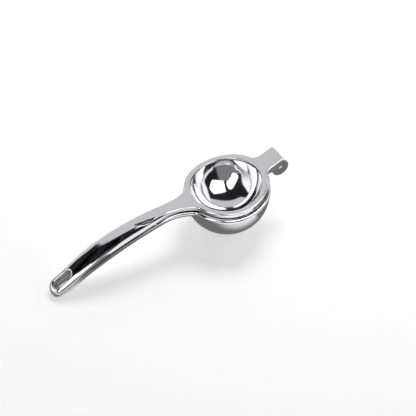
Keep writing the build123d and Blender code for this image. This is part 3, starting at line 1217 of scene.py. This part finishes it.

# %% Painted dark reflection in the chrome
DARK_REFLECTION_HALF = 0.042  # half width of the painted dark reflection beside the bowl
DARK_REFLECTION_HALF_TIP, DARK_REFLECTION_HALF_HINGE = 0.115, 0.085  # half widths further along the tool
DARK_REFLECTION_NEAR_TIP = 0.30  # reach on the near side of the grip
DARK_REFLECTION_SOFT = 0.016  # half width of its soft border
DARK_REFLECTION_END = (0.135, 0.170)  # x where it ends, either way
FAR_SQUARES = (0.20, 0.70)  # squares of the distances between which the table turns grey
DARK_REFLECTION_LEVEL, FLOOR_LIGHT, FLOOR_FAR = 0.18, 0.90, 0.42  # levels: the painted dark reflection's, and what is added off it
PATCH = 0.62  # share of that in the painted light patch near the grip's end
coords = floor_tree.nodes.new("ShaderNodeTexCoord")
floor_spot = floor_tree.nodes.new("ShaderNodeSeparateXYZ")
floor_tree.links.new(coords.outputs["Object"], floor_spot.inputs[0])
floor_x, floor_y = floor_spot.outputs["X"], floor_spot.outputs["Y"]
aside, away = calc("ABSOLUTE", floor_y), calc("ABSOLUTE", floor_x)
# how wide the painted dark reflection under the tool is, and where the floor is beyond it
tip_dark_reflection = fit_range(floor_x, -0.056, -0.044, DARK_REFLECTION_HALF_TIP, DARK_REFLECTION_HALF)
hinge_dark_reflection = fit_range(floor_x, 0.078, 0.096, DARK_REFLECTION_HALF, DARK_REFLECTION_HALF_HINGE)
near_side = fit_range(floor_y, -0.050, -0.020, 1.0, 0.0)
near_dark_reflection = calc("MULTIPLY", near_side, fit_range(floor_x, -0.052, -0.040, DARK_REFLECTION_NEAR_TIP, 0.0))
dark_reflection_width = calc("MAXIMUM", calc("MAXIMUM", tip_dark_reflection, hinge_dark_reflection), near_dark_reflection)
beyond_side = fit_range(calc("SUBTRACT", aside, dark_reflection_width), -DARK_REFLECTION_SOFT, DARK_REFLECTION_SOFT)
beyond = calc("MAXIMUM", beyond_side, fit_range(away, *DARK_REFLECTION_END))
# painted light patch in the reflection, on the near side of the grip's end
patch_x = fit_range(floor_x, -0.084, -0.074, PATCH, 0.0)
patch_inner = fit_range(floor_y, -0.012, -0.004, 1.0, 0.0)
patch_outer = fit_range(floor_y, -0.080, -0.070)
patch = calc("MULTIPLY", patch_x, calc("MULTIPLY", patch_outer, patch_inner))
# painted grey in the reflection far out, by the square of the distance
far_squared = calc("ADD", calc("MULTIPLY", aside, aside), calc("MULTIPLY", away, away))
added = fit_range(far_squared, *FAR_SQUARES, FLOOR_LIGHT, FLOOR_FAR)
painted_reflection_level = calc("ADD", calc("MULTIPLY", calc("MAXIMUM", beyond, patch), added), DARK_REFLECTION_LEVEL)
# painted reflection: the table as the chrome sees it, dark under the tool and light beyond
mirrored = shine(floor_tree, "ShaderNodeEmission", painted_reflection_level)
out = floor_tree.nodes.new("ShaderNodeOutputMaterial")
by_ray = switch(floor_rays["Is Glossy Ray"], table.outputs[0], mirrored)
floor_tree.links.new(by_ray, out.inputs["Surface"])
print("floor nodes", len(floor_tree.nodes))

# %% [markdown]
# ## Lamp
# One soft lamp above and behind the tool gives the table its shadow. The chrome doesn't show it,
# because its reflections come from the cards and the sky.

# %% Lamp
LAMP_POWER, LAMP_SIZE = 3.0, 0.35  # watts and metres
LAMP_AT = Vector((0.35, 0.30, 0.75))
lamp_data = bpy.data.lights.new("soft_lamp", "AREA")
lamp_data.energy = LAMP_POWER
lamp_data.size = LAMP_SIZE
lamp = bpy.data.objects.new("soft_lamp", lamp_data)
bpy.context.scene.collection.objects.link(lamp)
lamp_turn = LAMP_AT.to_track_quat("Z", "Y").to_matrix().to_4x4()
lamp.matrix_world = Matrix.Translation(LAMP_AT) @ lamp_turn
lamp.visible_glossy = False
print("lamp", round(LAMP_AT.length, 3), "m from the tool")

# %% [markdown]
# ## Studio cards
# A mirror ball shows every lamp in the room, and so does the bowl. Two soft boxes stand over
# the tool: one almost square and close to the bowl, one bent and far away. A low white card
# puts a light edge on the grip, and a black card over the grip keeps its shoulder dark, as a
# flag does in a real studio. Only reflections see these cards. The corners of the light ones
# are given as the directions in which they are seen, which is how one would place them by eye.

# %% Studio cards
SOFTBOX_AT = Vector((0.051, 0.0, 0.025))  # where the soft boxes are seen from, in the bowl
LOW_CARD_AT = Vector((-0.068, -0.005, 0.028))  # where the low card is seen from, on the grip
SOFTBOX_GLOW, LOW_CARD_GLOW = 2.6, 1.4
FLAG_HEIGHT, FLAG_LEVEL_FROM = 18, -140  # mm over the grip, and x beyond which it stays level
SQUARE_BOX = [(91, -3), (97, 29), (109, 34), (119, 33), (137, 17), (122, -13)]
CURVED_BOX = [
    (90, -20), (97, -16), (110, -18), (118, -22), (122, -31), (126, -41), (137, -46),
    (139, -52), (130, -57), (118, -60), (108, -57), (100, -46), (95, -35), (90, -28),
]
LOW_CARD = [
    (134, -30), (138, -17), (158, -11), (176, -11), (178, -26), (164, -40), (150, -53),
    (112, -55), (120, -43),
]
FLAG = [
    (-150, 8), (-101, 8), (-95, -22), (-99, -46), (-133, -46), (-134.5, -26), (-139, -19),
    (-150, -10.5),
]


def sky_direction(rise, lean_right):
    """Direction by its rise, 0 at the far horizon and 180 at the near one, and its lean to +X."""
    a, b = radians(rise), radians(lean_right)
    return Vector((sin(b), cos(b) * cos(a), cos(b) * sin(a)))


def seen_from(place, directions, distance):
    """Corners of a flat card that fills the given directions, seen from a place."""
    ways = [sky_direction(*direction) for direction in directions]
    facing = sum(ways, Vector((0, 0, 0))).normalized()
    return [place + way * (distance / way.dot(facing)) for way in ways]


def studio_card(name, corners, strength):
    """Flat card that only reflections see: glowing, or black where its strength is 0."""
    bm = bmesh.new()
    bm.faces.new([bm.verts.new(corner) for corner in corners])
    card = finished(name, bm)
    material = bpy.data.materials.new(name)
    tree = node_tree(material)
    out = tree.nodes.new("ShaderNodeOutputMaterial")
    tree.links.new(shine(tree, "ShaderNodeEmission", strength), out.inputs["Surface"])
    card.data.materials.append(material)
    card.visible_camera = False
    card.visible_diffuse = False
    card.visible_shadow = False
    print(name, round(card.data.polygons[0].area * 1e4, 1), "cm2, strength", strength)


studio_card("square_softbox", seen_from(SOFTBOX_AT, SQUARE_BOX, distance=0.25), SOFTBOX_GLOW)
studio_card("curved_softbox", seen_from(SOFTBOX_AT, CURVED_BOX, distance=2.5), SOFTBOX_GLOW)
studio_card("low_card", seen_from(LOW_CARD_AT, LOW_CARD, distance=0.07), LOW_CARD_GLOW)
flag = [(x, y, press_top(max(x, FLAG_LEVEL_FROM)) + FLAG_HEIGHT) for x, y in FLAG]
studio_card("black_flag", [ARM_TO_WORLD @ Vector(corner) for corner in flag], 0.0)

# %% [markdown]
# ## The room as a sky
# The rest of the room is painted on the world: a light grey wall beyond the table, white walls
# on both sides, a dim grey corner behind the camera and black for all that is overhead. The
# direction of a ray gives two angles, how high it rises and how far it leans to the right, and
# each wall is a region in these two. Camera rays see plain white instead. Light Path also tells
# how often a ray has met the chrome: the steep sides of the bowl show second reflections, and
# those see the dim corner white, as if its lamps were turned to the bowl alone.

# %% Two angles of a ray
world = bpy.data.worlds.new("studio")
bpy.context.scene.world = world
sky_tree = node_tree(world)
look = sky_tree.nodes.new("ShaderNodeTexCoord")
parts = sky_tree.nodes.new("ShaderNodeSeparateXYZ")
sky_tree.links.new(look.outputs["Generated"], parts.inputs[0])
rise = calc("MULTIPLY", calc("ARCTAN2", parts.outputs["Z"], parts.outputs["Y"]), degrees(1))
lean_right = calc("MULTIPLY", calc("ARCSINE", parts.outputs["X"]), degrees(1))


def boundary(*stops):
    """Border line through its stops, each a rise and the lean there; both ends come first."""
    ramp = sky_tree.nodes.new("ShaderNodeFloatCurve")
    curve = ramp.mapping.curves[0]
    for i, (at, lean_there) in enumerate(stops):
        spot = (at / 180, lean_there / 180 + 0.5)
        if i < 2:
            curve.points[i].location = spot
            point = curve.points[i]
        else:
            point = curve.points.new(*spot)
        point.handle_type = "VECTOR"
    ramp.mapping.update()
    sky_tree.links.new(calc("DIVIDE", rise, 180), ramp.inputs["Value"])
    return calc("MULTIPLY", calc("SUBTRACT", ramp.outputs[0], 0.5), 180)


def right_of(border, softness):
    """1 to the right of a border line, 0 to its left."""
    return fit_range(calc("SUBTRACT", lean_right, border), -softness, softness)


print("angles of a ray take", len(sky_tree.nodes), "nodes")

# %% Walls of the room
FAR_WALL, OVERHEAD = 0.68, 0.016
SIDE_WALL, SIDE_WALL_END = 1.2, 0.4  # at 56 and at 86 degrees to the side
NEAR_LOW = 0.88  # share of that low on the near side
ROOM, ROOM_AGAIN = 0.24, 1.26  # dim corner, and what second reflections add to it
CRISP, SOFT = 1.2, 2  # half widths of the borders, in degrees
far_border = boundary(
    (0, -16), (180, 90), (11, -18), (20, -20), (30, -20), (42, -20), (45, -19), (49, -17.2),
    (54, -9), (60, 2), (75, 27), (84, 50), (90, 80),
)
far_wall = calc("MULTIPLY", right_of(far_border, CRISP), FAR_WALL)
left_border = boundary(
    (0, -30), (180, -66), (27, -32), (45, -44), (60, -50), (71, -55), (88, -65), (105, -71),
    (144, -69),
)
right_border = boundary(
    (0, 50), (180, 5), (60, 48), (98, 46), (122, 43), (140, 44), (150, 42), (158, 31),
    (163, 22), (167, 9), (171, 5),
)
left_wall = calc("SUBTRACT", 1.0, right_of(left_border, SOFT))
sides = calc("MAXIMUM", left_wall, right_of(right_border, SOFT))
sideways = calc("ABSOLUTE", lean_right)
sides = calc("MULTIPLY", sides, fit_range(sideways, 56, 86, SIDE_WALL, SIDE_WALL_END))
sides = calc("MULTIPLY", sides, fit_range(rise, 146, 160, 1.0, NEAR_LOW))
# dim corner, which second reflections see lit
sky_rays = sky_tree.nodes.new("ShaderNodeLightPath").outputs
again = calc("GREATER_THAN", sky_rays["Glossy Depth"], 1.5)
again_high = calc("MULTIPLY", again, fit_range(rise, 144, 154, 1.0, 0.0))
room_level = calc("ADD", calc("MULTIPLY", again_high, ROOM_AGAIN), ROOM)
room = calc("MULTIPLY", fit_range(rise, 118, 128), fit_range(lean_right, 0, -9))
room = calc("MULTIPLY", room, room_level)
print("walls make", len(sky_tree.nodes), "nodes")

# %% Studio sky
SKY_TINT = (0.97, 0.965, 1.0)
total = calc("MAXIMUM", calc("MAXIMUM", far_wall, room), calc("MAXIMUM", sides, OVERHEAD))
sky = shine(sky_tree, "ShaderNodeBackground", total, SKY_TINT)
plain = shine(sky_tree, "ShaderNodeBackground", 1.0)
out = sky_tree.nodes.new("ShaderNodeOutputWorld")
sky_tree.links.new(switch(sky_rays["Is Camera Ray"], sky, plain), out.inputs["Surface"])
print("sky nodes", len(sky_tree.nodes))

# %% [markdown]
# ## Finish
# The finished pieces must fill the same box as the CAD parts that they stand for. This last
# step sets the plain Standard view transform.

# %% Finish
bpy.context.scene.view_settings.view_transform = "Standard"
bpy.context.view_layer.update()
